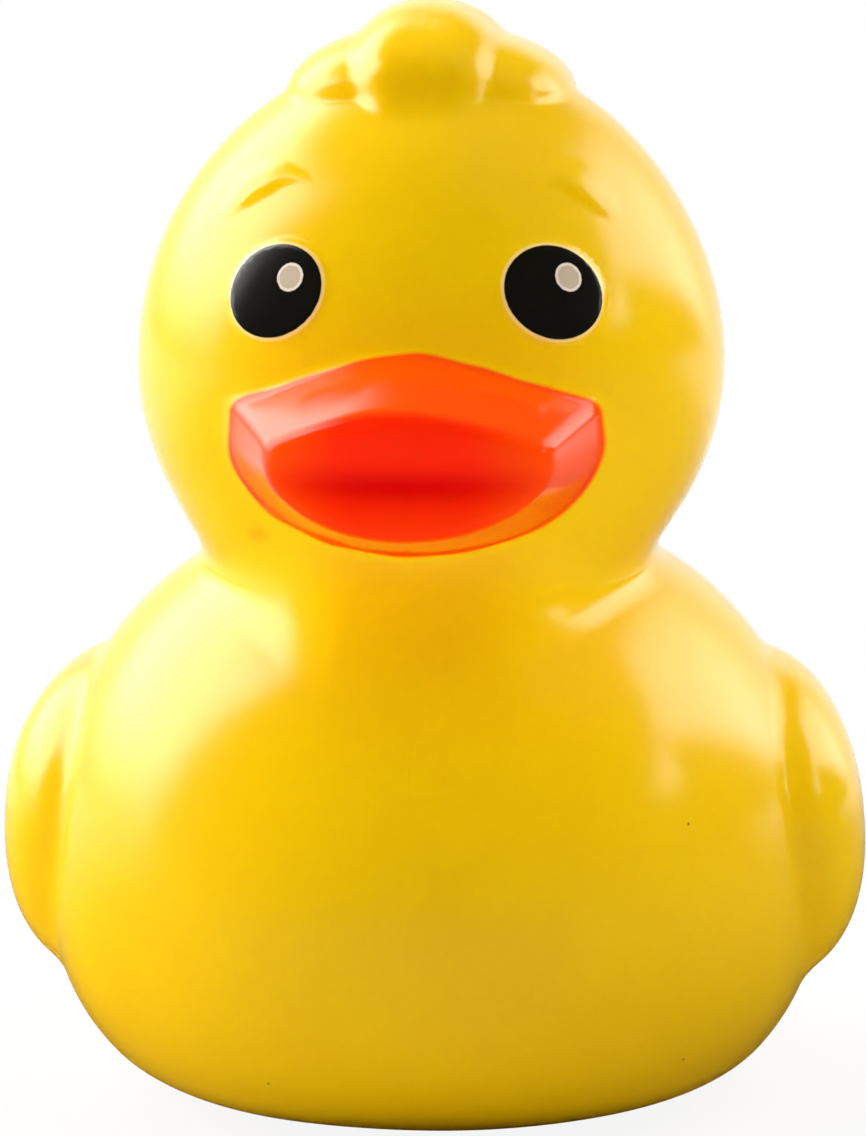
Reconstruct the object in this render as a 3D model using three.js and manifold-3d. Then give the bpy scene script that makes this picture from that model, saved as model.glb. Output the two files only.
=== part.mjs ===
// Squishy toy duck, moulded in one piece of soft vinyl.
// Millimetres, +Z up, the bill points along -Y, and the origin is under the middle of the duck.

import * as THREE from 'three';
import { LoftGeometry } from 'three/addons/geometries/LoftGeometry.js';
import { ParametricGeometry } from 'three/addons/geometries/ParametricGeometry.js';
import { mergeVertices } from 'three/addons/utils/BufferGeometryUtils.js';
import Module from 'manifold-3d';

// Chest: the broad front of the body, an egg that leans back, round from above and squarer from the front
const chestWidth = 60.6;
const chestFrontReach = 32;
const chestBackReach = 30;
const chestRise = 29.3;
const chestDrop = 22.4;
const chestHeight = 18;
const chestForward = 3;
const chestLean = 8;
const chestFullness = 2.3;
const chestRoundness = 2;

// Rump: the rear of the body, set behind the chest
const rumpWidth = 54;
const rumpReach = 27.5;
const rumpRise = 19;
const rumpDrop = 21;
const rumpHeight = 17;
const rumpSetback = 15;
const rumpFullness = 2.2;
const rumpBlend = 8;

// Tail: a flat lobe that sweeps up from the rump
const tailWidth = 22;
const tailLength = 28;
const tailThickness = 10;
const tailSetback = 22;
const tailRise = 14;
const tailSweep = 38;
const tailBlend = 12;

// Base: the flat the duck stands on, with a rolled edge
const baseRoll = 4.4;
const baseTrim = 0.1;

// Head: a tall ball set ahead of the chest
const headWidth = 45;
const headFrontReach = 22.4;
const headBackReach = 22;
const headRise = 24;
const headDrop = 21.3;
const headHeight = 58.3;
const headForward = 7;

// Throat: the fullness under the chin, which carries the neck line down in front
const throatWidth = 30;
const throatDepth = 25;
const throatThickness = 21;
const throatDrop = 11.3;
const throatForward = 5.5;
const throatBlend = 5;
const neckBlend = 2.6;

// Chin: in front, the crease of the neck opens into a soft run from the chin to the chest
const chinFlow = 7;
const chinWidth = 10;
const chinFadeWidth = 34;
const chinStart = 3;
const chinFull = 15;

// Wings: two pads on the sides of the chest
const wingThickness = 16.8;
const wingFrontReach = 12.4;
const wingBackReach = 19.6;
const wingDepth = 25.2;
const wingInset = 5;
const wingHeight = 22.2;
const wingSetback = 0.5;
const wingSweep = 10;
const wingToe = 5;
const wingRoll = -4;
const wingFullness = 2.2;

// Tuft: a crest on the crown that shows as a lock on each side, and a taller middle lock over it
const crestWidth = 21.2;
const crestFrontReach = 14.6;
const crestBackReach = 7.2;
const crestThickness = 10.8;
const crestStand = 2;
const crestSetback = 1.8;
const crestFullness = 2;
const crestRoundness = 2.6;
const tuftWidth = 13;
const tuftFrontReach = 14.5;
const tuftBackReach = 7.5;
const tuftThickness = 12.2;
const tuftStand = 3.9;
const tuftSetback = 0.7;
const tuftNod = 4;
const tuftFullness = 2.1;
const tuftRoundness = 3.6;

// Eyes: low oval pads on the face
const eyeLength = 7.95;
const eyeHeight = 7.05;
const eyeSpacing = 20.6;
const eyeRise = 7.1;
const eyeLean = 12;
const eyeProud = 0.3;
const eyeSink = 0.4;

// Brows: raised crescents over the eyes, thickest towards the outer end
const browSpacing = 22.4;
const browSpan = 7.2;
const browRise = 14.6;
const browArch = 2.4;
const browFall = 2.6;
const browThickness = 2.2;
const browSkew = 1.5;
const browProud = 0.42;
const browSink = 0.3;

// Bill: a blunt wedge from a wide root in the head to a narrower tip; heights are from the head's centre
const billReach = 7.1;
const billRootDepth = 10;
const billRootWidth = 32.2;
const billRootTop = 8.7;
const billRootCornerTop = 0.5;
const billRootCornerBottom = -2.7;
const billRootBottom = -14.1;
const billTipWidth = 20.6;
const billTipTop = -0.7;
const billTipCornerTop = -3.3;
const billTipCornerBottom = -4.4;
const billTipBottom = -10.1;
const billTipBow = 2.5;
const billRootArch = 1.3;
const billTipArch = 1.6;
const billRidgeSoftness = 0.04;
const billEdgeRound = 0.8;

// Mouth: a shallow valley across the bill's front
const mouthWidth = 18.4;
const mouthGape = 3;
const mouthGroove = 0.8;
const mouthDrop = 6;

// Mesh fineness: steps around and along each form
const skinSteps = 60;
const undersideLevels = 20;
const undersideCrowding = 0.75;
const rearCrowding = 0.3;
const flankLevels = 24;
const crownLevels = 11;
const lobeSteps = 22;
const lobeLevels = 14;
const eyeSteps = 24;
const eyeLevels = 6;
const browSteps = 8;
const browLevels = 12;
const billHalfSteps = 12;
const billSpanLevels = 4;
const billRoundLevels = 3;
const weldDistance = 1e-4;
const finestEdge = 0.002;
const shortestStep = 0.01;
const stepShare = 0.6;
const surfaceError = 1e-6;

const vinylYellow = 0xf4c414;
const billOrange = 0xfd4a0a;
const eyeBlack = 0x14120a;

const wasm = await Module();
wasm.setup();

const toRadians = THREE.MathUtils.degToRad;
const mix = THREE.MathUtils.lerp;

// An egg: radii on the low and high side of each axis; a higher fullness makes it squarer from the side,
// and a higher roundness makes it squarer from above
function makeEgg({ centre, low, high = low, fullness = 2, roundness = fullness, turn = new THREE.Euler() }) {
  const rotation = new THREE.Quaternion().setFromEuler(turn);
  return { centre, low, high, fullness, roundness, rotation, unturn: rotation.clone().invert() };
}

// How far out a point lies round the upright axis, then from the centre: 1 on the egg's surface
function eggGirth(egg, share) {
  return (share.x ** egg.roundness + share.y ** egg.roundness + 1e-12) ** (1 / egg.roundness);
}

function eggSize(egg, share) {
  return (eggGirth(egg, share) ** egg.fullness + share.z ** egg.fullness) ** (1 / egg.fullness);
}

// Nearly the distance from a point to an egg's surface, negative inside
function eggDistance(egg, point) {
  const offset = point.clone().sub(egg.centre).applyQuaternion(egg.unturn);
  const radius = egg.high.clone();
  for (const axis of ['x', 'y', 'z']) {
    radius[axis] = offset[axis] < 0 ? egg.low[axis] : egg.high[axis];
    offset[axis] = Math.abs(offset[axis]) / radius[axis];
  }
  const size = eggSize(egg, offset);
  const around = eggGirth(egg, offset) ** (egg.fullness - egg.roundness);
  const slope = new THREE.Vector3(
    around * offset.x ** (egg.roundness - 1),
    around * offset.y ** (egg.roundness - 1),
    offset.z ** (egg.fullness - 1),
  ).divide(radius);
  return (size - 1) / ((slope.length() + 1e-9) * size ** (1 - egg.fullness));
}

// Joins two distances with a fillet about as wide as blend
function softUnion(a, b, blend) {
  const overlap = Math.max(blend - Math.abs(a - b), 0) / blend;
  return Math.min(a, b) - (overlap * overlap * blend) / 4;
}

const chest = makeEgg({
  centre: new THREE.Vector3(0, -chestForward, chestHeight),
  low: new THREE.Vector3(chestWidth / 2, chestFrontReach, chestDrop),
  high: new THREE.Vector3(chestWidth / 2, chestBackReach, chestRise),
  fullness: chestFullness,
  roundness: chestRoundness,
  turn: new THREE.Euler(-toRadians(chestLean), 0, 0),
});

const rump = makeEgg({
  centre: new THREE.Vector3(0, rumpSetback - chestForward, rumpHeight),
  low: new THREE.Vector3(rumpWidth / 2, rumpReach, rumpDrop),
  high: new THREE.Vector3(rumpWidth / 2, rumpReach, rumpRise),
  fullness: rumpFullness,
});

const tail = makeEgg({
  centre: rump.centre.clone().add(new THREE.Vector3(0, tailSetback, tailRise)),
  low: new THREE.Vector3(tailWidth, tailLength, tailThickness).divideScalar(2),
  turn: new THREE.Euler(toRadians(tailSweep), 0, 0),
});

const head = makeEgg({
  centre: new THREE.Vector3(0, -headForward, headHeight),
  low: new THREE.Vector3(headWidth / 2, headFrontReach, headDrop),
  high: new THREE.Vector3(headWidth / 2, headBackReach, headRise),
});

const throat = makeEgg({
  centre: head.centre.clone().sub(new THREE.Vector3(0, throatForward, throatDrop)),
  low: new THREE.Vector3(throatWidth, throatDepth, throatThickness).divideScalar(2),
});

// How wide the neck's fillet is at a point: widest under the chin
function neckFillet(point) {
  const ahead = THREE.MathUtils.smoothstep(head.centre.y - point.y, chinStart, chinFull);
  const aside = THREE.MathUtils.smoothstep(Math.abs(point.x), chinWidth / 2, chinFadeWidth / 2);
  return neckBlend + chinFlow * ahead * (1 - aside);
}

// The main skin: body, tail and head flowing into each other, rolled in to the flat base
function skinDistance(point) {
  const trunk = softUnion(eggDistance(chest, point), eggDistance(rump, point), rumpBlend);
  const body = softUnion(trunk, eggDistance(tail, point), tailBlend);
  const skull = softUnion(eggDistance(head, point), eggDistance(throat, point), throatBlend);
  const whole = softUnion(body, skull, neckFillet(point));
  return -softUnion(-whole, point.z, baseRoll);
}

// Walks from a hub inside the skin along a direction until it leaves the skin, then closes in on the surface
function skinPoint(hub, direction, target) {
  const at = (travel) => target.copy(hub).addScaledVector(direction, travel);
  let inside = 0;
  let outside = shortestStep;
  let depth = skinDistance(at(outside));
  while (depth < 0) {
    inside = outside;
    outside += Math.max(-depth * stepShare, shortestStep);
    depth = skinDistance(at(outside));
  }
  while (outside - inside > surfaceError) {
    const middle = (inside + outside) / 2;
    if (skinDistance(at(middle)) < 0) {
      inside = middle;
    } else {
      outside = middle;
    }
  }
  return at(outside);
}

// The skin as rings of rays: a fan under the body, a stack up the neck and a fan over the crown.
// The lower rings tip up at the back, so that they look straight into the tail.
function skinGeometry() {
  const bodyHub = new THREE.Vector3(0, rump.centre.y, chestHeight);
  const levels = undersideLevels + flankLevels + crownLevels;
  const xAxis = new THREE.Vector3(1, 0, 0);
  const hub = new THREE.Vector3();
  const direction = new THREE.Vector3();
  const ring = (u, v, target) => {
    const level = v * levels;
    const under = THREE.MathUtils.clamp(level / undersideLevels, 0, 1) ** undersideCrowding;
    const climb = THREE.MathUtils.clamp((level - undersideLevels) / flankLevels, 0, 1);
    const over = THREE.MathUtils.clamp((level - undersideLevels - flankLevels) / crownLevels, 0, 1);
    const polar = ((under + over) * Math.PI) / 2;
    const around = (u % 1) * 2 * Math.PI;
    const turn = around + rearCrowding * Math.sin(around);
    direction.set(Math.sin(turn) * Math.sin(polar), -Math.cos(turn) * Math.sin(polar), -Math.cos(polar));
    direction.applyAxisAngle(xAxis, toRadians(tailSweep) * (1 - climb));
    hub.lerpVectors(bodyHub, head.centre, climb);
    return skinPoint(hub, direction, target);
  };
  return new ParametricGeometry(ring, skinSteps, levels);
}

// The surface of one egg
function eggGeometry(egg, steps = lobeSteps, levels = lobeLevels) {
  const surface = (u, v, target) => {
    const around = (u % 1) * 2 * Math.PI;
    const rise = (v - 0.5) * Math.PI;
    target.set(Math.cos(around) * Math.cos(rise), Math.sin(around) * Math.cos(rise), Math.sin(rise));
    const size = eggSize(egg, new THREE.Vector3(Math.abs(target.x), Math.abs(target.y), Math.abs(target.z)));
    for (const axis of ['x', 'y', 'z']) {
      target[axis] *= (target[axis] < 0 ? egg.low[axis] : egg.high[axis]) / size;
    }
    return target.applyQuaternion(egg.rotation).add(egg.centre);
  };
  return new ParametricGeometry(surface, steps, levels);
}

// The point on the face at a place across and above the head's centre, and the way it looks
function facePoint(across, rise) {
  const share = 1 - (across / head.low.x) ** 2 - (rise / head.high.z) ** 2;
  const offset = new THREE.Vector3(across, -head.low.y * Math.sqrt(share), rise);
  const outward = new THREE.Vector3(
    offset.x / head.low.x ** 2,
    offset.y / head.low.y ** 2,
    offset.z / head.high.z ** 2,
  );
  return { place: offset.add(head.centre), outward: outward.normalize() };
}

function wing(side) {
  return makeEgg({
    centre: new THREE.Vector3(side * (chestWidth / 2 - wingInset), wingSetback - chestForward, wingHeight),
    low: new THREE.Vector3(wingThickness / 2, wingFrontReach, wingDepth / 2),
    high: new THREE.Vector3(wingThickness / 2, wingBackReach, wingDepth / 2),
    fullness: wingFullness,
    turn: new THREE.Euler(toRadians(wingSweep), side * toRadians(wingRoll), side * toRadians(wingToe)),
  });
}

const crown = head.centre.clone().add(new THREE.Vector3(0, 0, headRise));

function tuftCrest() {
  return makeEgg({
    centre: crown.clone().add(new THREE.Vector3(0, crestSetback, crestStand - crestThickness / 2)),
    low: new THREE.Vector3(crestWidth / 2, crestFrontReach, crestThickness / 2),
    high: new THREE.Vector3(crestWidth / 2, crestBackReach, crestThickness / 2),
    fullness: crestFullness,
    roundness: crestRoundness,
  });
}

// The middle lock nods forward, so that its front end runs into the forehead
function middleTuft() {
  return makeEgg({
    centre: crown.clone().add(new THREE.Vector3(0, tuftSetback, tuftStand - tuftThickness / 2)),
    low: new THREE.Vector3(tuftWidth / 2, tuftFrontReach, tuftThickness / 2),
    high: new THREE.Vector3(tuftWidth / 2, tuftBackReach, tuftThickness / 2),
    fullness: tuftFullness,
    roundness: tuftRoundness,
    turn: new THREE.Euler(toRadians(tuftNod), 0, 0),
  });
}

// A lens whose rim lies on the face and whose long axis climbs towards the bill's middle
function eyePad(side) {
  const { place, outward } = facePoint((side * eyeSpacing) / 2, eyeRise);
  const across = new THREE.Vector3(0, 0, 1).cross(outward).normalize();
  const upward = outward.clone().cross(across);
  const facing = new THREE.Matrix4().makeBasis(across, outward.clone().negate(), upward);
  const lean = new THREE.Matrix4().makeRotationY(side * toRadians(eyeLean));
  return makeEgg({
    centre: place.addScaledVector(outward, -eyeSink),
    low: new THREE.Vector3(eyeLength / 2, eyeSink + eyeProud, eyeHeight / 2),
    turn: new THREE.Euler().setFromRotationMatrix(facing.multiply(lean)),
  });
}

// A crescent that follows the face, thickest towards its outer end and pointed at both ends
function browGeometry(side) {
  const inner = new THREE.Vector2(browSpacing / 2 - browSpan / 2, browRise);
  const outer = new THREE.Vector2(browSpacing / 2 + browSpan / 2, browRise - browFall);
  const bend = new THREE.Vector2(browSpacing / 2, browRise + browArch);
  const path = new THREE.QuadraticBezierCurve(inner, bend, outer);
  const surface = (u, v, target) => {
    const along = Math.min(Math.max(v, 0), 1);
    const around = -side * (u % 1) * 2 * Math.PI;
    const swell = Math.sin(along ** browSkew * Math.PI);
    const spot = path.getPoint(along);
    const normal = path.getTangent(along).rotateAround(new THREE.Vector2(), Math.PI / 2);
    spot.addScaledVector(normal, (Math.cos(around) * swell * browThickness) / 2);
    const { place, outward } = facePoint(side * spot.x, spot.y);
    const lift = -Math.sin(around) * swell * (browProud + browSink) - browSink;
    return target.copy(place).addScaledVector(outward, lift);
  };
  return new ParametricGeometry(surface, browSteps, browLevels);
}

// One ring of the bill: an arched top, short upright sides and a rounded keel
function billRing(along, inset, advance) {
  const half = mix(billRootWidth, billTipWidth, along) / 2 - inset;
  const top = mix(billRootTop, billTipTop, along) - inset;
  const cornerTop = mix(billRootCornerTop, billTipCornerTop, along);
  const cornerBottom = mix(billRootCornerBottom, billTipCornerBottom, along);
  const bottom = mix(billRootBottom, billTipBottom, along) + inset;
  const arch = mix(billRootArch, billTipArch, along);
  const rootY = billRootDepth - headFrontReach;
  const tipY = -headFrontReach - billReach + billEdgeRound;
  const bow = billTipBow / (billTipWidth / 2) ** 2;
  const ring = [];
  const place = (across, height) => {
    const y = mix(rootY, tipY, along) + along * bow * across ** 2 - advance;
    ring.push(new THREE.Vector3(across, y, height).add(head.centre));
  };
  for (let i = 0; i <= billHalfSteps; i += 1) {
    const share = Math.cos((i / billHalfSteps) * Math.PI);
    place(share * half, mix(top, cornerTop, (share ** 2 + billRidgeSoftness) ** (arch / 2)));
  }
  for (let i = 0; i <= billHalfSteps; i += 1) {
    const share = -Math.cos((i / billHalfSteps) * Math.PI);
    place(share * half, mix(cornerBottom, bottom, Math.sqrt(1 - share ** 2)));
  }
  return ring;
}

function billGeometry() {
  const rings = [];
  for (let i = 0; i <= billSpanLevels; i += 1) {
    rings.push(billRing(i / billSpanLevels, 0, 0));
  }
  for (let i = 1; i <= billRoundLevels; i += 1) {
    const sweep = (i / billRoundLevels) * (Math.PI / 2);
    rings.push(billRing(1, billEdgeRound * (1 - Math.cos(sweep)), billEdgeRound * Math.sin(sweep)));
  }
  return new LoftGeometry(rings, { capStart: true, capEnd: true });
}

function mouth() {
  const front = -headFrontReach - billReach;
  return makeEgg({
    centre: head.centre.clone().add(new THREE.Vector3(0, front, -mouthDrop)),
    low: new THREE.Vector3(mouthWidth / 2, mouthGroove, mouthGape / 2),
  });
}

// Everything below the base, to be cut away
function groundGeometry() {
  const span = 4 * (chestWidth + rumpSetback + tailSetback + tailLength);
  return new THREE.BoxGeometry(span, span, span).translate(0, 0, baseTrim - span / 2);
}

// A closed geometry as a solid for joining and cutting
function solidOf(geometry) {
  const plain = new THREE.BufferGeometry().copy(geometry);
  plain.deleteAttribute('normal');
  plain.deleteAttribute('uv');
  const welded = mergeVertices(plain, weldDistance);
  const corners = Array.from(welded.index.array);
  const triangles = [];
  for (let i = 0; i < corners.length; i += 3) {
    const [a, b, c] = corners.slice(i, i + 3);
    if (a !== b && b !== c && c !== a) {
      triangles.push(a, b, c);
    }
  }
  return new wasm.Manifold(new wasm.Mesh({
    numProp: 3,
    vertProperties: new Float32Array(welded.attributes.position.array),
    triVerts: new Uint32Array(triangles),
    tolerance: finestEdge,
  }));
}

// A solid as a geometry, with one group of faces for each finish
function geometryOf(solid, finishes) {
  const mesh = solid.getMesh();
  const geometry = new THREE.BufferGeometry();
  geometry.setAttribute('position', new THREE.BufferAttribute(mesh.vertProperties, 3));
  geometry.setIndex(new THREE.BufferAttribute(mesh.triVerts, 1));
  mesh.runOriginalID.forEach((id, run) => {
    const start = mesh.runIndex[run];
    geometry.addGroup(start, mesh.runIndex[run + 1] - start, finishes.get(id) ?? 0);
  });
  return geometry;
}

function buildDuck() {
  const sides = [-1, 1];
  const skin = solidOf(skinGeometry());
  const bill = solidOf(billGeometry());
  const eyes = sides.map((side) => solidOf(eggGeometry(eyePad(side), eyeSteps, eyeLevels)));
  const lobeEggs = [tuftCrest(), middleTuft(), ...sides.map(wing)];
  const lobes = lobeEggs.map((egg) => solidOf(eggGeometry(egg)));
  const brows = sides.map((side) => solidOf(browGeometry(side)));
  const mouthCut = solidOf(eggGeometry(mouth()));
  const finishes = new Map([[bill.originalID(), 1], [mouthCut.originalID(), 1]]);
  eyes.forEach((eye) => finishes.set(eye.originalID(), 2));
  const joined = [...lobes, ...brows, ...eyes, bill].reduce((whole, piece) => whole.add(piece), skin);
  const solid = joined.subtract(mouthCut).subtract(solidOf(groundGeometry()));

  const geometry = geometryOf(solid, finishes);
  geometry.computeBoundingBox();
  const { min, max } = geometry.boundingBox;
  geometry.translate(0, -(min.y + max.y) / 2, -min.z);
  geometry.computeVertexNormals();

  const duck = new THREE.Mesh(geometry, [
    new THREE.MeshStandardMaterial({ color: vinylYellow, roughness: 0.3, metalness: 0 }),
    new THREE.MeshStandardMaterial({ color: billOrange, roughness: 0.2, metalness: 0 }),
    new THREE.MeshStandardMaterial({ color: eyeBlack, roughness: 0.25, metalness: 0 }),
  ]);
  duck.name = 'duck';
  return duck;
}

const toy = new THREE.Group();
toy.add(buildDuck());

export default toy;
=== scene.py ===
import math

import bpy
import numpy as np
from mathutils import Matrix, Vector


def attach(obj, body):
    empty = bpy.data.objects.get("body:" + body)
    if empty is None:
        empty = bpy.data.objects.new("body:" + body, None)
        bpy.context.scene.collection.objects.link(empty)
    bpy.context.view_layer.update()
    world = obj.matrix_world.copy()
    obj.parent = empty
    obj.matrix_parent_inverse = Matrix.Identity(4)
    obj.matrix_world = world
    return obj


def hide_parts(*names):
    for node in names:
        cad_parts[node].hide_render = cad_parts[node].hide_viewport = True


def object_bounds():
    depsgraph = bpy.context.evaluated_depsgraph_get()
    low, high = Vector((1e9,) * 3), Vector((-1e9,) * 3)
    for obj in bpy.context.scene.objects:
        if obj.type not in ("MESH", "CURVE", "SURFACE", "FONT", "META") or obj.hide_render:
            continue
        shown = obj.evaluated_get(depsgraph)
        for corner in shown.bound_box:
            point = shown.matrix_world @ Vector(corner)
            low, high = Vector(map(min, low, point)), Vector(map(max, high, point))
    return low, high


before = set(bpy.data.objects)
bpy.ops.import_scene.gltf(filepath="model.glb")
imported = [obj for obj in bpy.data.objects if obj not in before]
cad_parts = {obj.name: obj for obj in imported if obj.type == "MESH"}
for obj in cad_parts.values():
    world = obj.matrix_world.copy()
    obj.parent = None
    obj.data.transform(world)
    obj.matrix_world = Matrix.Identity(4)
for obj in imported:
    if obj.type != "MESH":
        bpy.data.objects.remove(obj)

import openvdb
from mathutils import Matrix, Vector

cadLow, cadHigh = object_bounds()
mm = 0.001
sides = (-1, 1)  # the viewer's left and right
tiny, small = 1e-12, 1e-9  # keep powers and divisions away from zero
scene = bpy.context.scene
scene.view_settings.view_transform = "Standard"
print("frame loaded, CAD box", [round(v / mm, 1) for v in (*cadLow, *cadHigh)], "mm")


# The photograph's camera, in front of the bill and a little above it
viewpoint = {
    "azimuth": 3.8,             # degrees round to the viewer's right
    "elevation": 8.0,           # degrees up
    "distance": 420.0,          # mm from the point that it looks at
    "lookAt": (-0.3, -4.7, 41.2),
    "frameHeight": 89.5,        # mm of the scene from the top of the picture to its foot
    "sensor": 36.0,             # mm along the long side
    "clipStart": 10.0,          # mm in front of the lens
}


# The way from the duck: degrees round from the bill's side to the viewer's right, and degrees up
def wayTo(azimuth, elevation):
    turn, lift = math.radians(azimuth), math.radians(elevation)
    return Vector((math.sin(turn) * math.cos(lift), -math.cos(turn) * math.cos(lift), math.sin(lift)))


def addCamera():
    back = wayTo(viewpoint["azimuth"], viewpoint["elevation"])
    data = bpy.data.cameras.new("camera")
    data.sensor_width = viewpoint["sensor"]
    data.lens = viewpoint["sensor"] * viewpoint["distance"] / viewpoint["frameHeight"]
    data.clip_start = viewpoint["clipStart"] * mm
    camera = bpy.data.objects.new("camera", data)
    camera.location = (Vector(viewpoint["lookAt"]) + back * viewpoint["distance"]) * mm
    camera.rotation_euler = back.to_track_quat("Z", "Y").to_euler()
    scene.collection.objects.link(camera)
    scene.camera = camera


addCamera()
print("camera placed")


# Every form below is in millimetres, with the base on z = 0 and the duck's middle plane on x = 0
def egg(centre, low, high=None, fullness=2.0, turn=(0, 0, 0), plan=None):
    turns = [Matrix.Rotation(math.radians(angle), 3, axis) for angle, axis in zip(turn, "XYZ")]
    rotation = np.array(turns[0] @ turns[1] @ turns[2])
    return {
        "centre": np.array(centre, float),
        "low": np.array(low, float),
        "high": np.array(high or low, float),
        "fullness": fullness,
        "plan": plan or fullness,
        "unturn": rotation.T,
    }


# Nearly the distance to an egg's surface, negative inside
def eggDistance(points, shape):
    local = shape["unturn"] @ (points - shape["centre"][:, None])
    radius = np.where(local < 0, shape["low"][:, None], shape["high"][:, None])
    share = np.abs(local) / radius
    power, plan = shape["fullness"], shape["plan"]
    girth = (share[0] ** plan + share[1] ** plan + tiny) ** (1 / plan)
    size = (girth**power + share[2] ** power) ** (1 / power)
    steepness = share ** (np.array([plan, plan, power]) - 1)[:, None] / radius
    steepness[:2] *= girth ** (power - plan)
    steepness = np.sqrt(np.sum(steepness**2, axis=0)) + small
    return (size - 1) / (steepness * size ** (1 - power))


# Joins two distances with a fillet about as wide as blend
def softUnion(a, b, blend):
    overlap = np.maximum(blend - np.abs(a - b), 0) / blend
    return np.minimum(a, b) - overlap * overlap * blend / 4


def softCut(a, b, blend):
    return -softUnion(-a, -b, blend)


def smoothStep(value, start, end):
    share = np.clip((value - start) / (end - start), 0, 1)
    return share * share * (3 - 2 * share)


body = {
    "chest": egg((0, -3, 18), (30.3, 32, 22.4), (30.3, 30, 29.3), 2.3, (-8, 0, 0), plan=2.0),
    "rump": egg((0, 12, 17), (27, 27.5, 21), (27, 27.5, 19), 2.2),
    "tail": egg((0, 34, 31), (11, 14, 5), turn=(38, 0, 0)),
    "rumpBlend": 8,
    "tailBlend": 12,
    "baseRoll": 4.4,
    "baseTrim": 0.1,
}
head = {
    "skull": egg((0, -7, 58.3), (22.5, 22.4, 21.3), (22.5, 22, 24)),
    "throat": egg((0, -12.5, 47), (15, 12.5, 10.5)),
    "throatBlend": 5,
    "neckBlend": 2.6,
    # The chin runs softly into the chest in front: fillet, where it fades across, and where along the duck
    "chinFlow": 7.0, "chinFlowHalf": (5, 17), "chinFlowAlong": (-22, -10),
}
wings = {
    "across": 25.3, "along": -2.5, "height": 22.2,
    "low": (8.4, 12.4, 12.6), "high": (8.4, 19.6, 12.6), "fullness": 2.2,
    "turn": (10, -4, 5),         # sweep, roll and toe, degrees
    "crease": 1.0,               # fillet where the wing meets the flank
}
tuft = {
    # The crest shows as a lock on each side of the middle one
    "crest": egg((0, -5.2, 78.9), (11.0, 12.4, 5.4), (11.0, 7.2, 5.4), plan=3.0),
    "middle": egg((0, -6.3, 80.1), (6.5, 12.4, 6.1), (6.5, 7.5, 6.1), 2.1, (4, 0, 0), plan=3.2),
    "crease": 0.5,
    # The middle lock flows into the forehead, as the chin does into the chest
    "browFlow": 2.0, "browFlowHalf": (2.6, 5.6), "browFlowAlong": (-19, -12),
}


def wingEgg(side):
    sweep, roll, toe = wings["turn"]
    centre = (side * wings["across"], wings["along"], wings["height"])
    return egg(centre, wings["low"], wings["high"], wings["fullness"], (sweep, side * roll, side * toe))


wingEggs = [wingEgg(side) for side in sides]
skullCentre = head["skull"]["centre"]


def skullDistance(points):
    skull, throat = (eggDistance(points, head[name]) for name in ("skull", "throat"))
    return softUnion(skull, throat, head["throatBlend"])


def bodyDistance(points):
    chest, rump, tail = (eggDistance(points, body[name]) for name in ("chest", "rump", "tail"))
    trunk = softUnion(chest, rump, body["rumpBlend"])
    return softUnion(trunk, tail, body["tailBlend"])


# The bill: a blunt wedge with an arched top and a rounded keel; heights are from the skull's centre
bill = {
    "root": -19.4, "tip": -36.5,           # along y
    "half": (16.1, 10.3),                  # at the root and at the tip, as in the next lines
    "top": (8.7, -0.7),
    "cornerTop": (0.5, -3.3),
    "cornerBottom": (-2.7, -4.4),
    "bottom": (-14.1, -10.1),
    "arch": (1.3, 1.6),                    # the lower, the straighter from the ridge to the corner
    "bow": 2.5,                            # how far the tip's corners sit back
    "ridge": 0.04,                         # how soft the bend along the middle of the roof is
    "edgeRound": 0.8,
    "lipRound": 1.1,
    "faceFillet": 0.7,
    "mouthHeight": -6.0, "mouthHalf": 9.2, "mouthGape": 1.5, "mouthDepth": 0.8,
    # Where the wedge's shape stops changing: past its root and its tip, and past its corners
    "alongReach": (-0.6, 1.3), "acrossReach": 1.4,
    # Where its distance is worked out: behind the root and above or below, mm; elsewhere it is far
    "nearAlong": 6, "nearRise": 22, "far": 30.0, "leastSlope": 0.3,
}


def billParts(points):
    x, y, z = points[0], points[1], points[2] - skullCentre[2]
    bow = bill["bow"] / bill["half"][1] ** 2 * x**2
    along = np.clip((bill["root"] - y) / (bill["root"] - bill["tip"] - bow), *bill["alongReach"])
    half, top, cornerTop, cornerBottom, bottom, arch = (
        bill[name][0] + (bill[name][1] - bill[name][0]) * along
        for name in ("half", "top", "cornerTop", "cornerBottom", "bottom", "arch")
    )
    share = x / half
    fall = (np.minimum(share**2, bill["acrossReach"]) + bill["ridge"]) ** (arch / 2)
    roof = z - (top + (cornerTop - top) * fall)
    under = np.maximum(cornerBottom - z, 0) / (cornerBottom - bottom)
    flank = (np.sqrt(share**2 + under**2) - 1) * half
    mouth = np.maximum(1 - (x / bill["mouthHalf"]) ** 2, 0)
    gape = mouth * np.exp(-((z - bill["mouthHeight"]) / bill["mouthGape"]) ** 2)
    front = bill["tip"] + bow + bill["mouthDepth"] * gape - y
    return roof, flank, front


def rawBill(points):
    roof, flank, front = billParts(points)
    return softCut(softCut(roof, flank, bill["edgeRound"]), front, bill["lipRound"])


def slopeOf(field, points, reach=0.05):
    slope = np.empty_like(points)
    for axis in range(3):
        step = np.zeros((3, 1))
        step[axis] = reach
        slope[axis] = (field(points + step) - field(points - step)) / (2 * reach)
    return slope


# The wedge's raw field is steeper than a distance, so it is evened out near the bill and skipped elsewhere
def billDistance(points):
    distance = np.full(points.shape[1], bill["far"], points.dtype)
    rise = np.abs(points[2] - skullCentre[2])
    near = (points[1] < bill["root"] + bill["nearAlong"]) & (rise < bill["nearRise"])
    close = points[:, near].astype(float)
    slope = np.linalg.norm(slopeOf(rawBill, close), axis=0)
    distance[near] = rawBill(close) / np.maximum(slope, bill["leastSlope"])
    return distance


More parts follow.
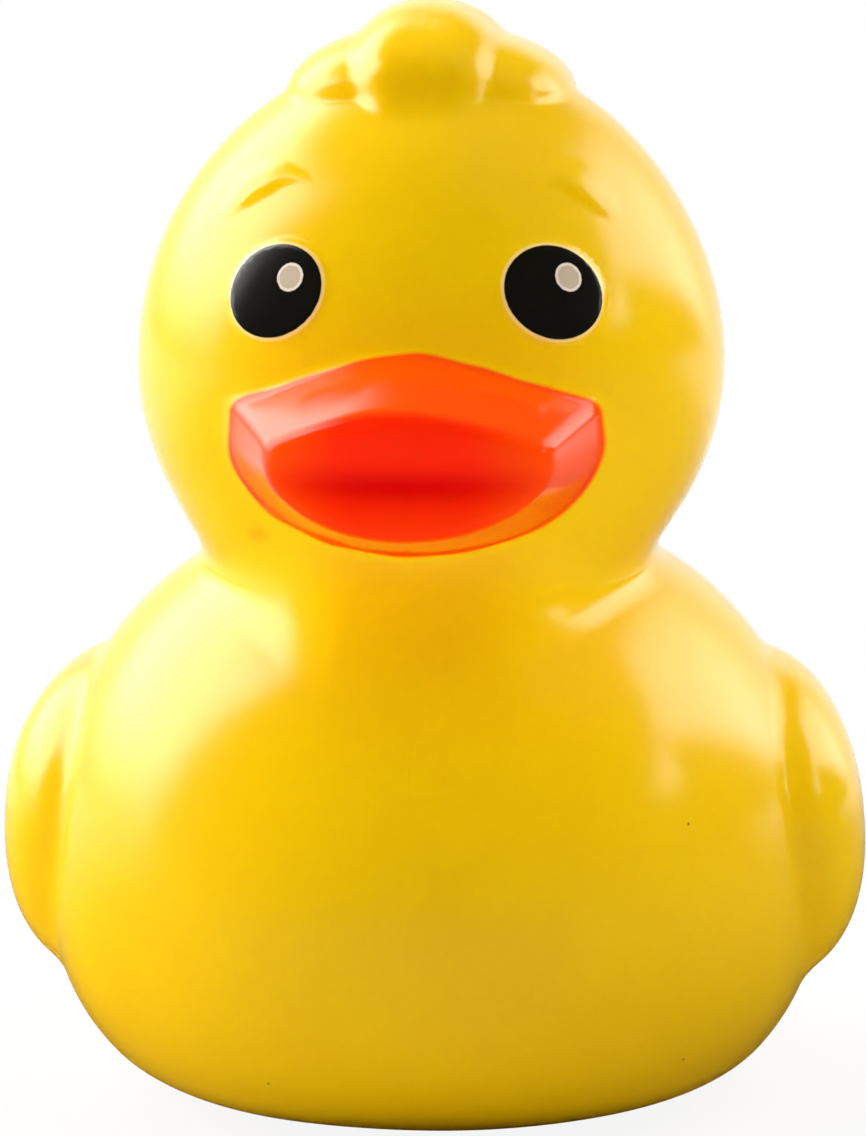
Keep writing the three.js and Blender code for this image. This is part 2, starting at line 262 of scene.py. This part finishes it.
# Eyes: low oval pads; each has its own flat frame on the face, with u to the viewer's right and v up
eyes = {
    "length": 7.95, "height": 7.05, "across": 10.3, "rise": 7.1, "lean": 12,
    "proud": 0.25, "slope": (-0.1, 0.6),           # mm the pad stands out, and its rim from the outline
    "glint": (1.25, 1.05), "glintRadius": 1.1,
    # Past the reach, distances to an eye have this much added, so that no more than the face is printed
    "reach": 10, "added": 20.0,
}
brows = {
    "inner": (7.6, 14.6), "bend": (11.2, 17.0), "outer": (14.8, 12.0),   # across and above the skull's centre
    "thickness": 2.2, "endHalf": 0.35, "proud": 0.34,
    "skew": 1.5, "soften": (0.2, 1.0),             # how the swell moves outwards, and where the sides fall
    "along": (0.02, 0.98), "steps": 49,
    "within": ((5, 18), (9, 20)),                  # the part of the face that holds them, across and above
}


def eyeFrame(side):
    across, rise = side * eyes["across"], eyes["rise"]
    reach = np.array([*head["skull"]["low"][:2], head["skull"]["high"][2]])
    forward = -reach[1] * math.sqrt(1 - (across / reach[0]) ** 2 - (rise / reach[2]) ** 2)
    offset = np.array([across, forward, rise])
    outward = offset / reach**2
    outward = outward / np.linalg.norm(outward)
    right = np.cross((0, 0, 1), outward)
    right = right / np.linalg.norm(right)
    return skullCentre + offset, right, np.cross(outward, right)


# Distance in the eye's own plane to its outline and to its glint, large away from the face
def eyeEdges(points, side):
    place, right, up = eyeFrame(side)
    offset = points - place[:, None]
    u, v = right @ offset, up @ offset
    lean = math.radians(side * eyes["lean"])
    flat = np.stack([u * math.cos(lean) - v * math.sin(lean), u * math.sin(lean) + v * math.cos(lean)])
    radius = np.array([eyes["length"] / 2, eyes["height"] / 2])[:, None]
    size = np.sqrt(np.sum((flat / radius) ** 2, axis=0)) + small
    steepness = np.sqrt(np.sum((flat / radius**2) ** 2, axis=0)) / size + small
    elsewhere = np.where(np.sum(offset**2, axis=0) > eyes["reach"] ** 2, eyes["added"], 0.0)
    outline = (size - 1) / steepness + elsewhere
    glint = np.hypot(u - eyes["glint"][0], v - eyes["glint"][1]) - eyes["glintRadius"] + elsewhere
    return outline, glint


# Height of the brows above the face: a crescent, thickest a little outside its middle
def browHeight(points):
    height = np.zeros(points.shape[1])
    rise = points[2] - skullCentre[2]
    across = np.abs(points[0])
    near = points[1] < skullCentre[1]
    for value, (low, high) in zip((across, rise), brows["within"]):
        near &= (value > low) & (value < high)
    u, v = across[near], rise[near]
    best = np.full(u.shape, np.inf)
    swellThere = np.zeros(u.shape)
    for along in np.linspace(*brows["along"], brows["steps"]):
        spot = [(1 - along) ** 2 * a + 2 * along * (1 - along) * b + along**2 * c
                for a, b, c in zip(brows["inner"], brows["bend"], brows["outer"])]
        swell = math.sin(math.pi * along ** brows["skew"])
        reach = np.hypot(u - spot[0], v - spot[1]) / (brows["endHalf"] + swell * brows["thickness"] / 2)
        closer = reach < best
        best = np.where(closer, reach, best)
        swellThere = np.where(closer, swell, swellThere)
    height[near] = brows["proud"] * swellThere * (1 - smoothStep(best, *brows["soften"]))
    return height


# The soft wall is never quite even: long shallow waves bend its highlights
unevenness = {"height": 0.07, "length": 17.0, "count": 9, "seed": 11}


def waves(points, look):
    draw = np.random.default_rng(look["seed"])
    total = np.zeros(points.shape[1])
    for _ in range(look["count"]):
        direction = draw.normal(size=3)
        direction *= 2 * math.pi / (look["length"] * np.linalg.norm(direction))
        total += np.sin(direction @ points + draw.uniform(0, 2 * math.pi))
    return total / math.sqrt(look["count"])


def skinDistance(points):
    inFront = 1 - smoothStep(points[1], *head["chinFlowAlong"])
    flow = head["chinFlow"] * inFront * (1 - smoothStep(np.abs(points[0]), *head["chinFlowHalf"]))
    return softUnion(bodyDistance(points), skullDistance(points), head["neckBlend"] + flow)


def mouldingDistance(points):
    skin = skinDistance(points)
    for wing in wingEggs:
        skin = softUnion(skin, eggDistance(points, wing), wings["crease"])
    skin = softUnion(skin, eggDistance(points, tuft["crest"]), tuft["crease"])
    inFront = 1 - smoothStep(points[1], *tuft["browFlowAlong"])
    flow = tuft["browFlow"] * inFront * (1 - smoothStep(np.abs(points[0]), *tuft["browFlowHalf"]))
    skin = softUnion(skin, eggDistance(points, tuft["middle"]), tuft["crease"] + flow)
    skin = skin - browHeight(points)
    for side in sides:
        outline, _ = eyeEdges(points, side)
        pad = 1 - smoothStep(outline, *eyes["slope"])
        skin = skin - eyes["proud"] * np.where(points[1] < skullCentre[1], pad, 0)
    skin = softUnion(skin, billDistance(points), bill["faceFillet"])
    skin = skin - unevenness["height"] * waves(points, unevenness)
    rolled = softCut(skin, -points[2], body["baseRoll"])
    return np.maximum(rolled, body["baseTrim"] - points[2])


# The field becomes a mesh of small quads, then each point is brought onto the exact surface
fineness = {
    "low": (-36.0, -39.0, -2.0), "high": (36.0, 50.0, 88.5),    # the box that is sampled
    "cell": 0.53, "block": 4, "margin": 1.6, "outside": 3.0,
    "closeRounds": 3, "leastSteep": 0.2, "stride": 0.4,
    "relaxRounds": 3, "relaxShare": 0.5,
    "normalReach": 0.25,
}


# Blocks far from the surface keep the value at their middle, and the others are sampled cell by cell
def fieldValues(low, counts):
    cell, block = fineness["cell"], fineness["block"]
    centres = [low[axis] + (np.arange(counts[axis] // block) + 0.5) * cell * block for axis in range(3)]
    grid = np.stack(np.meshgrid(*centres, indexing="ij"))
    coarse = mouldingDistance(grid.reshape(3, -1)).reshape(grid.shape[1:])
    near = np.abs(coarse) < cell * block + fineness["margin"]
    for axis in range(3):
        coarse = np.repeat(coarse, block, axis)
        near = np.repeat(near, block, axis)
    points = low[:, None] + np.argwhere(near).T * cell
    coarse[near] = mouldingDistance(points)
    return coarse.astype(np.float32)


def quadsOfField():
    low, high = np.array(fineness["low"]), np.array(fineness["high"])
    block = fineness["block"]
    counts = (np.ceil((high - low) / fineness["cell"] / block).astype(int) + 1) * block
    grid = openvdb.FloatGrid(fineness["outside"])
    grid.copyFromArray(fieldValues(low, counts))
    points, quads = grid.convertToQuads(isovalue=0.0)
    return low + points.astype(float) * fineness["cell"], quads.astype(int)


# Short steps along the slope, onto the surface
def closeIn(points):
    for _ in range(fineness["closeRounds"]):
        slope = slopeOf(mouldingDistance, points)
        steep = np.maximum(np.sum(slope**2, axis=0), fineness["leastSteep"])
        step = np.clip(mouldingDistance(points) / steep, -fineness["stride"], fineness["stride"])
        points = points - step * slope
    return points


# Each point slides along the surface towards the mean of its neighbours
def relax(points, quads):
    total = np.zeros_like(points)
    count = np.zeros(points.shape[1])
    for corner in range(4):
        for other in (1, 3):
            source, target = quads[:, (corner + other) % 4], quads[:, corner]
            np.add.at(count, target, 1)
            for axis in range(3):
                np.add.at(total[axis], target, points[axis, source])
    slope = slopeOf(mouldingDistance, points)
    normal = slope / np.linalg.norm(slope, axis=0)
    shift = (total / count - points) * fineness["relaxShare"]
    return points + shift - normal * np.sum(shift * normal, axis=0)


def duckSurface():
    corners, quads = quadsOfField()
    points = closeIn(corners.T)
    for _ in range(fineness["relaxRounds"]):
        points = closeIn(relax(points, quads))
    a, b, c = (points[:, quads[:, corner]] for corner in range(3))
    if np.sum(np.cross((b - a).T, (c - a).T).T * a) < 0:
        quads = quads[:, ::-1]
    return points, quads


surfacePoints, surfaceQuads = duckSurface()
drop = np.array([0, cadLow[1] / mm - bill["tip"], -body["baseTrim"]])    # from the forms' frame to the CAD's
print("surface made,", surfacePoints.shape[1], "points,", len(surfaceQuads), "quads")


# Where the paint and painted shade lie: edges in millimetres from each one's outline, and shares from 0 to 1
# inside the bill
sprayEdge = {"wobble": 0.12, "length": 4.5, "count": 7, "seed": 5}
# A trace of orange wiped below the bill
smear = {"across": -11.9, "rise": -11.4, "half": (1.2, 0.9), "soften": (0.2, 1.0)}
# Where the enamel's edge, its keel tone and its painted shade turn, mm
enamel = {
    "inside": (-0.5, -0.1),                                 # from the bill's edge
    # The lip and pale tones set the front face's painted shade, weaker towards the bill's sides and below
    "lip": (-0.9, -0.25),                                   # from the bill's front
    "paleAcross": (4.0, 10.0, 0.8), "paleBelow": (7.0, 9.5, 0.25),      # with the share that the red loses
    # The mouth tones set the groove's painted shade
    "mouthWider": 2.2, "mouthRise": 1.2, "mouthBack": (-2.6, -0.8),
    "keelDepth": (4.0, 9.0), "keelBack": (-1.2, -0.5),      # below the roof, and from the front
}


def paintAndShadeEdges(points):
    billEdge = billDistance(points) - skinDistance(points)
    inside = 1 - smoothStep(billEdge, *enamel["inside"])
    roof, _, front = billParts(points)
    rise = points[2] - skullCentre[2]
    # Painted shade in the mouth groove
    grooveShadeShare = np.clip(1 - (points[0] / (bill["mouthHalf"] + enamel["mouthWider"])) ** 2, 0, 1)
    grooveShadeShare = grooveShadeShare * np.exp(-((rise - bill["mouthHeight"]) / enamel["mouthRise"]) ** 2)
    # Painted shade on the bill's front face, weaker towards its sides and below
    frontShadeShare = 1
    for value, name in ((np.abs(points[0]), "paleAcross"), (-rise, "paleBelow")):
        start, full, loss = enamel[name]
        frontShadeShare = frontShadeShare - loss * smoothStep(value, start, full)
    keel = smoothStep(-roof, *enamel["keelDepth"]) * (1 - smoothStep(front, *enamel["keelBack"]))
    wiped = [(points[0] - smear["across"]) / smear["half"][0], (rise - smear["rise"]) / smear["half"][1]]
    outlines = [eyeEdges(points, side) for side in sides]
    onFace = points[1] < skullCentre[1]
    return {
        "billEdge": billEdge + sprayEdge["wobble"] * waves(points, sprayEdge),
        # Painted shade on the front face and in the mouth groove
        "frontFaceShade": smoothStep(front, *enamel["lip"]) * frontShadeShare * inside,
        "mouthGrooveShade": grooveShadeShare * smoothStep(front, *enamel["mouthBack"]) * inside,
        "keel": keel * inside,
        "smear": np.where(onFace, 1 - smoothStep(np.hypot(*wiped), *smear["soften"]), 0),
        "eyeEdge": np.minimum(outlines[0][0], outlines[1][0]) + np.where(onFace, 0, eyes["added"]),
        "glintEdge": np.minimum(outlines[0][1], outlines[1][1]) + np.where(onFace, 0, eyes["added"]),
    }


def addDuck():
    slope = slopeOf(mouldingDistance, surfacePoints, fineness["normalReach"])
    normals = slope / np.linalg.norm(slope, axis=0)
    mesh = bpy.data.meshes.new("duckMoulding")
    mesh.from_pydata(((surfacePoints + drop[:, None]).T * mm).tolist(), [], surfaceQuads.tolist())
    mesh.validate()
    mesh.shade_smooth()
    mesh.normals_split_custom_set_from_vertices(normals.T.tolist())
    for name, values in paintAndShadeEdges(surfacePoints).items():
        mesh.attributes.new(name, "FLOAT", "POINT").data.foreach_set("value", values.astype(np.float32))
    duck = bpy.data.objects.new("duckMoulding", mesh)
    scene.collection.objects.link(duck)
    return duck


duck = addDuck()
print("duck meshed,", len(duck.data.polygons), "faces")


def linear(hexColour):
    parts = [int(hexColour[i:i + 2], 16) / 255 for i in (1, 3, 5)]
    return [p / 12.92 if p <= 0.04045 else ((p + 0.055) / 1.055) ** 2.4 for p in parts] + [1.0]


def socketOf(sockets, key):
    return next(socket for socket in sockets if key in (socket.identifier, socket.name))


# Adds one node: settings are its own properties or its unlinked sockets, links are the sockets that feed it
def addNode(tree, kind, settings=None, links=None):
    node = tree.nodes.new(kind)
    for key, value in (settings or {}).items():
        if hasattr(node, key):
            setattr(node, key, value)
    for key, value in (settings or {}).items():
        if not hasattr(node, key):
            socketOf(node.inputs, key).default_value = value
    for key, source in (links or {}).items():
        tree.links.new(source, socketOf(node.inputs, key))
    return node


def emptyTree(owner):
    owner.use_nodes = True
    owner.node_tree.nodes.clear()
    return owner.node_tree


# Moulded soft vinyl: a plasticised, slightly translucent skin that glows in its hollows and shines softly.
# The bill is sprayed enamel, darker red on its keel; its redder front face and deep red mouth are painted
# shade. The eyes are printed ink.
vinyl = {
    "yellow": "#F8C800", "yellowDeep": "#F4C000",
    "cloudSize": 14.0, "cloudDetail": 3.0, "cloudTurn": (0.15, 0.85),
    "roughness": 0.17, "roughnessSpread": 0.04, "enamelSmoother": 0.06,
    "ior": 1.5, "sheen": 0.5, "enamelSheen": 0.3,
    "glow": 0.5, "glowReach": (7.0, 3.6, 0.4),           # mm for red, green and blue
    "peelSize": 0.9, "peelDepth": 0.004,
    "seamHalf": 0.25, "seamHeight": 0.012, "seamBreak": 9.0, "seamWorn": (0.45, 0.6),
    # Dust in the skin, across and up, mm
    "specks": ((-10.9, 6.0), (20.3, 25.7), (20.0, 7.2), (33.6, 21.0)),
    "speckRadius": 0.16, "speckCore": 0.08, "speckShare": 0.8, "speckTone": "#6A4A10",
}
soft = {"paint": 0.16, "ink": 0.03}      # half the width of an edge, mm
ring, rim = 0.24, -0.2                   # the eye's pale ring outside its edge, the glint's rim inside
# Each layer lies over the one before it: attribute, where it starts, where it is full, colour
layers = (
    ("smear", 0.0, 2.2, "#FF8A00"),
    ("billEdge", soft["paint"], -soft["paint"], "#FF4E02"),
    # Painted shade on the bill's front face
    ("frontFaceShade", 0.0, 1.0, "#FF2602"),
    ("keel", 0.0, 1.0, "#F40000"),
    # Painted shade in the mouth groove
    ("mouthGrooveShade", 0.0, 1.0, "#E20000"),
    ("eyeEdge", ring + soft["ink"], ring - soft["ink"], "#FBD27A"),
    ("eyeEdge", soft["ink"], -soft["ink"], "#100E08"),
    ("glintEdge", soft["ink"], -soft["ink"], "#EADCD0"),
    ("glintEdge", rim + soft["ink"], rim - soft["ink"], "#C6B49A"),
)


# The skin's nearest point to a place seen from the front, in metres on the finished duck
def frontPoint(across, up):
    behind = np.where(surfacePoints[1] < 0, 0, np.inf)
    nearest = np.argmin((surfacePoints[0] - across) ** 2 + (surfacePoints[2] - up) ** 2 + behind)
    return [value * mm for value in surfacePoints[:, nearest] + drop]


def vinylMaterial():
    material = bpy.data.materials.new("mouldedSoftVinyl")
    tree = emptyTree(material)
    place = addNode(tree, "ShaderNodeTexCoord").outputs["Object"]

    # Faint clouds in the pigment, then the paints over it and the dust
    grain = {"Scale": 1 / (vinyl["cloudSize"] * mm), "Detail": vinyl["cloudDetail"]}
    clouds = addNode(tree, "ShaderNodeTexNoise", grain, {"Vector": place}).outputs["Fac"]
    cloudStart, cloudFull = vinyl["cloudTurn"]
    cloudy = {"interpolation_type": "SMOOTHSTEP", "From Min": cloudStart, "From Max": cloudFull}
    share = addNode(tree, "ShaderNodeMapRange", cloudy, {"Value": clouds})
    colour = addNode(tree, "ShaderNodeMix", {
        "data_type": "RGBA", "A_Color": linear(vinyl["yellow"]), "B_Color": linear(vinyl["yellowDeep"])},
        {"Factor_Float": share.outputs["Result"]})
    for name, start, full, hexColour in layers:
        field = addNode(tree, "ShaderNodeAttribute", {"attribute_name": name})
        cover = addNode(tree, "ShaderNodeMapRange", {"From Min": start, "From Max": full}, {
            "Value": field.outputs["Fac"]})
        colour = addNode(tree, "ShaderNodeMix", {"data_type": "RGBA", "B_Color": linear(hexColour)}, {
            "Factor_Float": cover.outputs["Result"], "A_Color": socketOf(colour.outputs, "Result_Color")})
    for spot in vinyl["specks"]:
        away = addNode(tree, "ShaderNodeVectorMath", {
            "operation": "DISTANCE", "Vector_001": frontPoint(*spot)}, {"Vector": place})
        cover = addNode(tree, "ShaderNodeMapRange", {
            "From Min": vinyl["speckRadius"] * mm, "From Max": vinyl["speckCore"] * mm,
            "To Max": vinyl["speckShare"]}, {"Value": away.outputs["Value"]})
        colour = addNode(tree, "ShaderNodeMix", {
            "data_type": "RGBA", "B_Color": linear(vinyl["speckTone"])}, {
            "Factor_Float": cover.outputs["Result"], "A_Color": socketOf(colour.outputs, "Result_Color")})

    # The gloss drifts a little, and the enamel is smoother with a weaker sheen
    low, high = (vinyl["roughness"] + sign * vinyl["roughnessSpread"] / 2 for sign in sides)
    drift = addNode(tree, "ShaderNodeMapRange", {**cloudy, "To Min": low, "To Max": high}, {"Value": clouds})
    onBill = addNode(tree, "ShaderNodeAttribute", {"attribute_name": "billEdge"}).outputs["Fac"]
    sprayed = {"From Min": soft["paint"], "From Max": -soft["paint"]}
    smoother = addNode(tree, "ShaderNodeMapRange", {**sprayed, "To Max": -vinyl["enamelSmoother"]}, {
        "Value": onBill})
    shine = addNode(tree, "ShaderNodeMath", {"operation": "ADD"}, {
        "Value": drift.outputs["Result"], "Value_001": smoother.outputs["Result"]})
    sheen = addNode(tree, "ShaderNodeMapRange", {
        **sprayed, "To Min": vinyl["sheen"], "To Max": vinyl["enamelSheen"]}, {"Value": onBill})

    # A fine peel and the mould's broken seam line catch the light
    split = addNode(tree, "ShaderNodeSeparateXYZ", {}, {"Vector": place})
    across = addNode(tree, "ShaderNodeMath", {"operation": "ABSOLUTE"}, {"Value": split.outputs["X"]})
    seam = addNode(tree, "ShaderNodeMapRange", {
        "interpolation_type": "SMOOTHSTEP", "From Min": vinyl["seamHalf"] * mm, "From Max": 0.0,
        "To Max": vinyl["seamHeight"] * mm}, {"Value": across.outputs[0]})
    worn = addNode(tree, "ShaderNodeTexNoise", {"Scale": 1 / (vinyl["seamBreak"] * mm)}, {"Vector": place})
    gone, whole = vinyl["seamWorn"]
    there = addNode(tree, "ShaderNodeMapRange", {"From Min": gone, "From Max": whole}, {
        "Value": worn.outputs["Fac"]})
    broken = addNode(tree, "ShaderNodeMath", {"operation": "MULTIPLY"}, {
        "Value": seam.outputs["Result"], "Value_001": there.outputs["Result"]})
    peel = addNode(tree, "ShaderNodeTexNoise", {"Scale": 1 / (vinyl["peelSize"] * mm)}, {"Vector": place})
    height = addNode(tree, "ShaderNodeMath", {
        "operation": "MULTIPLY_ADD", "Value_001": vinyl["peelDepth"] * mm}, {
        "Value": peel.outputs["Fac"], "Value_002": broken.outputs[0]})
    relief = addNode(tree, "ShaderNodeBump", {"Strength": 1.0, "Distance": 1.0}, {
        "Height": height.outputs[0]})

    shader = addNode(tree, "ShaderNodeBsdfPrincipled", {
        "subsurface_method": "BURLEY", "IOR": vinyl["ior"], "Subsurface Weight": vinyl["glow"],
        "Subsurface Radius": vinyl["glowReach"], "Subsurface Scale": mm}, {
        "Base Color": socketOf(colour.outputs, "Result_Color"), "Roughness": shine.outputs[0],
        "Specular IOR Level": sheen.outputs["Result"], "Normal": relief.outputs["Normal"]})
    addNode(tree, "ShaderNodeOutputMaterial", {}, {"Surface": shader.outputs["BSDF"]})
    return material


duck.data.materials.append(vinylMaterial())
print("vinyl, enamel and ink mixed")


# Where the stage shows white: to the camera, and to gloss that looks behind the duck
def seenWhite(tree, behind):
    path = addNode(tree, "ShaderNodeLightPath").outputs
    mirrored = addNode(tree, "ShaderNodeMath", {"operation": "MAXIMUM"}, {
        "Value": path["Is Glossy Ray"], "Value_001": path["Is Transmission Ray"]})
    mirrored = addNode(tree, "ShaderNodeMath", {"operation": "MULTIPLY"}, {
        "Value": mirrored.outputs[0], "Value_001": behind})
    return addNode(tree, "ShaderNodeMath", {"operation": "MAXIMUM"}, {
        "Value": path["Is Camera Ray"], "Value_001": mirrored.outputs[0]}).outputs[0]


# A pale studio floor that keeps a faint shadow; lengths in metres
floorLook = {
    "size": 3.0, "pale": "#DEDEDC", "mirrored": "#3A3A38",
    "whiteShare": 0.9, "shadowReach": (0.04, 0.09),
    "whiteWay": (-0.26, 0.97, 0), "whiteFrom": (0.0, 0.25),      # gloss shows it white to the left and behind
}


def floorMaterial():
    material = bpy.data.materials.new("paintedFloor")
    tree = emptyTree(material)
    place = addNode(tree, "ShaderNodeTexCoord").outputs["Object"]
    facing = addNode(tree, "ShaderNodeVectorMath", {
        "operation": "DOT_PRODUCT", "Vector_001": floorLook["whiteWay"]}, {"Vector": place})
    start, full = floorLook["whiteFrom"]
    behind = addNode(tree, "ShaderNodeMapRange", {
        "interpolation_type": "SMOOTHSTEP", "From Min": start, "From Max": full},
        {"Value": facing.outputs["Value"]})
    away = addNode(tree, "ShaderNodeVectorMath", {"operation": "LENGTH"}, {"Vector": place})
    near, far = floorLook["shadowReach"]
    fade = addNode(tree, "ShaderNodeMapRange", {
        "interpolation_type": "SMOOTHSTEP", "From Min": near, "From Max": far,
        "To Min": floorLook["whiteShare"], "To Max": 1.0}, {"Value": away.outputs["Value"]})
    share = addNode(tree, "ShaderNodeMath", {"operation": "MULTIPLY"}, {
        "Value": seenWhite(tree, behind.outputs["Result"]), "Value_001": fade.outputs["Result"]})
    path = addNode(tree, "ShaderNodeLightPath").outputs
    tone = addNode(tree, "ShaderNodeMix", {
        "data_type": "RGBA", "A_Color": linear(floorLook["pale"]), "B_Color": linear(floorLook["mirrored"])},
        {"Factor_Float": path["Is Glossy Ray"]})
    matte = addNode(tree, "ShaderNodeBsdfDiffuse", {}, {"Color": socketOf(tone.outputs, "Result_Color")})
    white = addNode(tree, "ShaderNodeEmission", {"Strength": 1.0})
    both = addNode(tree, "ShaderNodeMixShader", {}, {
        "Fac": share.outputs[0], "Shader": matte.outputs[0], "Shader_001": white.outputs[0]})
    addNode(tree, "ShaderNodeOutputMaterial", {}, {"Surface": both.outputs[0]})
    return material


def addFloor():
    half = floorLook["size"] / 2
    corners = [(-half, -half, 0), (half, -half, 0), (half, half, 0), (-half, half, 0)]
    mesh = bpy.data.meshes.new("studioFloor")
    mesh.from_pydata(corners, [], [(0, 1, 2, 3)])
    mesh.materials.append(floorMaterial())
    floor = bpy.data.objects.new("studioFloor", mesh)
    scene.collection.objects.link(floor)


addFloor()
print("floor laid")


# Soft studio light: a wide window high on the left, and a broad one and a pane on the right.
# A window is its radiance and its soft edges. Each edge is a direction, as in wayTo, with the cosines from
# that direction where the light starts and where it is full.
windows = {
    "left": (5.7, (
        (-100, 36, 0.45, 0.98), (-176, 16, -0.06, 0.16), (0, 90, -0.15, 0.36), (0, 90, 0.88, 0.68))),
    "right": (3.5, (
        (162, -28, -0.03, 0.09), (-134, 60, -0.03, 0.10), (99, -41, -0.04, 0.12), (90, 0, 0.25, 0.85))),
    "rightPane": (2.8, (
        (162, -28, -0.03, 0.07), (0, 0, -0.05, 0.04), (0, 90, 0.17, 0.25), (0, 90, 0.50, 0.34))),
}
backdrop = ((180, 0, 0.62, 0.95), (0, 90, 0.75, 0.35))
dim = 0.04                                     # what the rest of the room gives


# A light's share is a product of soft steps, one for each of its edges
def shareOf(tree, way, edges):
    share = None
    for azimuth, elevation, start, full in edges:
        turned = addNode(tree, "ShaderNodeVectorMath", {
            "operation": "DOT_PRODUCT", "Vector_001": wayTo(azimuth, elevation)}, {"Vector": way})
        step = addNode(tree, "ShaderNodeMapRange", {
            "interpolation_type": "SMOOTHSTEP", "From Min": start, "From Max": full},
            {"Value": turned.outputs["Value"]})
        if share is not None:
            step = addNode(tree, "ShaderNodeMath", {"operation": "MULTIPLY"}, {
                "Value": share, "Value_001": step.outputs[0]})
        share = step.outputs[0]
    return share


def lightRoom():
    world = bpy.data.worlds.new("studioRoom")
    scene.world = world
    tree = emptyTree(world)
    way = addNode(tree, "ShaderNodeTexCoord").outputs["Generated"]
    light = addNode(tree, "ShaderNodeValue")
    light.outputs[0].default_value = dim
    for radiance, edges in windows.values():
        light = addNode(tree, "ShaderNodeMath", {"operation": "MULTIPLY_ADD", "Value_001": radiance}, {
            "Value": shareOf(tree, way, edges), "Value_002": light.outputs[0]})
    seen = seenWhite(tree, shareOf(tree, way, backdrop))
    strength = addNode(tree, "ShaderNodeMix", {"data_type": "FLOAT", "B_Float": 1.0}, {
        "Factor_Float": seen, "A_Float": light.outputs[0]})
    sky = addNode(tree, "ShaderNodeBackground", {"Color": (1, 1, 1, 1)}, {
        "Strength": socketOf(strength.outputs, "Result_Float")})
    addNode(tree, "ShaderNodeOutputWorld", {}, {"Surface": sky.outputs[0]})


# Cards that fill from above, from both sides and on the face, and aren't mirrored in the gloss.
# Each has its direction as in wayTo, metres away, width and height, radiance, and spread in degrees.
cards = {
    "softSky": (180, 75, 1.2, (1.6, 1.2), 0.8, 180),
    "leftCard": (-92, 14, 1.0, (0.9, 0.9), 2.4, 180),
    "rightCard": (88, 60, 1.0, (0.9, 0.9), 2.4, 180),
    "faceCard": (10, 2, 0.5, (0.05, 0.04), 0.4, 10),
}


def hangCards():
    middle = Vector((0, 0, cadHigh[2] / 2))
    for name, (azimuth, elevation, away, size, radiance, spread) in cards.items():
        data = bpy.data.lights.new(name, "AREA")
        data.shape = "RECTANGLE"
        data.size, data.size_y = size
        data.energy = radiance * math.pi * size[0] * size[1]
        data.spread = math.radians(spread)
        card = bpy.data.objects.new(name, data)
        card.location = middle + wayTo(azimuth, elevation) * away
        card.rotation_euler = wayTo(azimuth, elevation).to_track_quat("Z", "Y").to_euler()
        card.visible_glossy = False
        scene.collection.objects.link(card)


lightRoom()
hangCards()
print("room lit")

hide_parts("duck")
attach(duck, "root")
